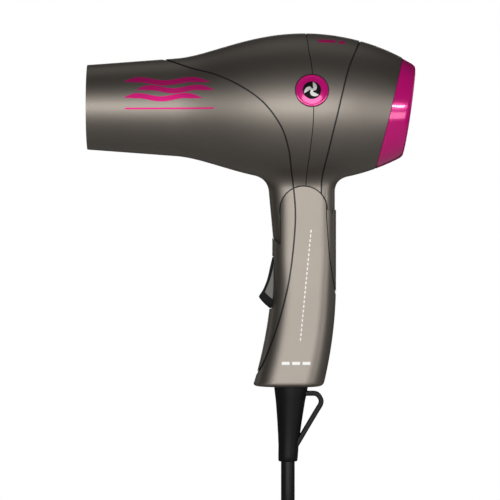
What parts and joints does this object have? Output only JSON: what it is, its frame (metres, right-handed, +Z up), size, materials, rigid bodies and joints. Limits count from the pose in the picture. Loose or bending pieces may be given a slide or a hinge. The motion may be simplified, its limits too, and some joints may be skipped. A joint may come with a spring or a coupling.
{
  "type": "hair dryer",
  "caption": "Folding travel hair dryer with a tapered nozzle, a pull-off inlet ring, a hinged handle with front rockers, and a coiled mains lead.",
  "frame": {"origin": "grip point on the handle's mid-plane, 60 mm below the fold hinge's axis, where a hand or a holder holds the dryer", "axes": "+Z up along the handle, +X to the air inlet at the rear, nozzle to -X, +Y across the object, which is symmetrical about y = 0"},
  "size_m": [0.2055, 0.1261, 0.3169],
  "materials": {
    "satin_grey": "satin warm gunmetal",
    "magenta_metallic": "glossy metallic magenta",
    "gloss_black": "piano black",
    "black_plastic": "moulded",
    "dark_plastic": "moulded, heat resistant",
    "black_rubber": "soft moulded",
    "lead_black": "flexible sheath",
    "mica": "pressed mica sheet",
    "nichrome": "oxidised wire",
    "steel": "drawn",
    "steel_mesh": "woven mesh",
    "ferrite": "sintered",
    "bronze": "sintered bronze",
    "copper": "enamelled copper",
    "white_plastic": "moulded",
    "wire_sleeve": "silicone sleeve",
    "pin_nickel": "nickel plated"
  },
  "bodies": {
    "handle": {"handle_back_shell": "satin_grey", "handle_front_cover": "satin_grey", "rear_spine": "satin_grey", "hinge_bosses": "black_plastic", "hinge_pin": "steel", "hinge_washers": "steel", "detent_pins": "steel", "switch_carrier": "dark_plastic", "rocker_pin": "steel", "speed_switch": "dark_plastic", "heat_switch": "dark_plastic", "suppression_capacitor": "white_plastic", "handle_leads": "wire_sleeve", "lead_end": "lead_black", "cord_clamp": "dark_plastic", "clamp_screws": "steel", "strain_relief": "black_rubber", "cord_drop": "lead_black", "cord_coil": "lead_black", "cord_tail": "lead_black", "cord_tie": "black_rubber", "plug_body": "lead_black", "plug_pins": "pin_nickel"},
    "barrel": {"front_shell": "satin_grey", "rear_shell": "satin_grey", "nozzle_liner": "dark_plastic", "outlet_grille": "dark_plastic", "heater_sleeve": "mica", "heater_boards": "mica", "heater_coil": "nichrome", "thermal_cutout": "steel", "thermal_fuse": "white_plastic", "air_guide": "dark_plastic", "motor_can": "steel", "motor_magnets": "ferrite", "motor_bushes": "bronze", "barrel_screws": "steel", "barrel_leads": "wire_sleeve", "badge_left": "magenta_metallic", "badge_right": "magenta_metallic", "neck_knuckle": "black_plastic"},
    "rotor": {"motor_shaft": "steel", "motor_armature": "copper", "fan": "dark_plastic"},
    "filter_cover": {"rear_ring": "magenta_metallic", "inlet_grille": "dark_plastic", "filter_mesh": "steel_mesh"},
    "speed_key": {"speed_rocker": "gloss_black", "speed_rocker_core": "satin_grey"},
    "heat_key": {"heat_rocker": "gloss_black", "heat_rocker_core": "satin_grey"}
  },
  "joints": [
    {"name": "fold_hinge", "type": "hinge", "parent": "handle", "child": "barrel", "pos_m": [0, 0, 0.06], "axis": [0, -1, 0], "range_deg": [0, 70]},
    {"name": "speed_rocker_turn", "type": "hinge", "parent": "handle", "child": "speed_key", "pos_m": [-0.0125, 0, 0.0195], "axis": [0, -1, 0], "range_deg": [0, 20]},
    {"name": "heat_rocker_turn", "type": "hinge", "parent": "handle", "child": "heat_key", "pos_m": [-0.0125, 0, 0.0195], "axis": [0, -1, 0], "range_deg": [0, 20]},
    {"name": "fan_spin", "type": "hinge", "parent": "barrel", "child": "rotor", "pos_m": [0, 0, 0.1175], "axis": [1, 0, 0], "continuous": true},
    {"name": "inlet_ring_pull", "type": "slide", "parent": "barrel", "child": "filter_cover", "axis": [0.972, 0, -0.2351], "range_m": [0, 0.025]}
  ]
}
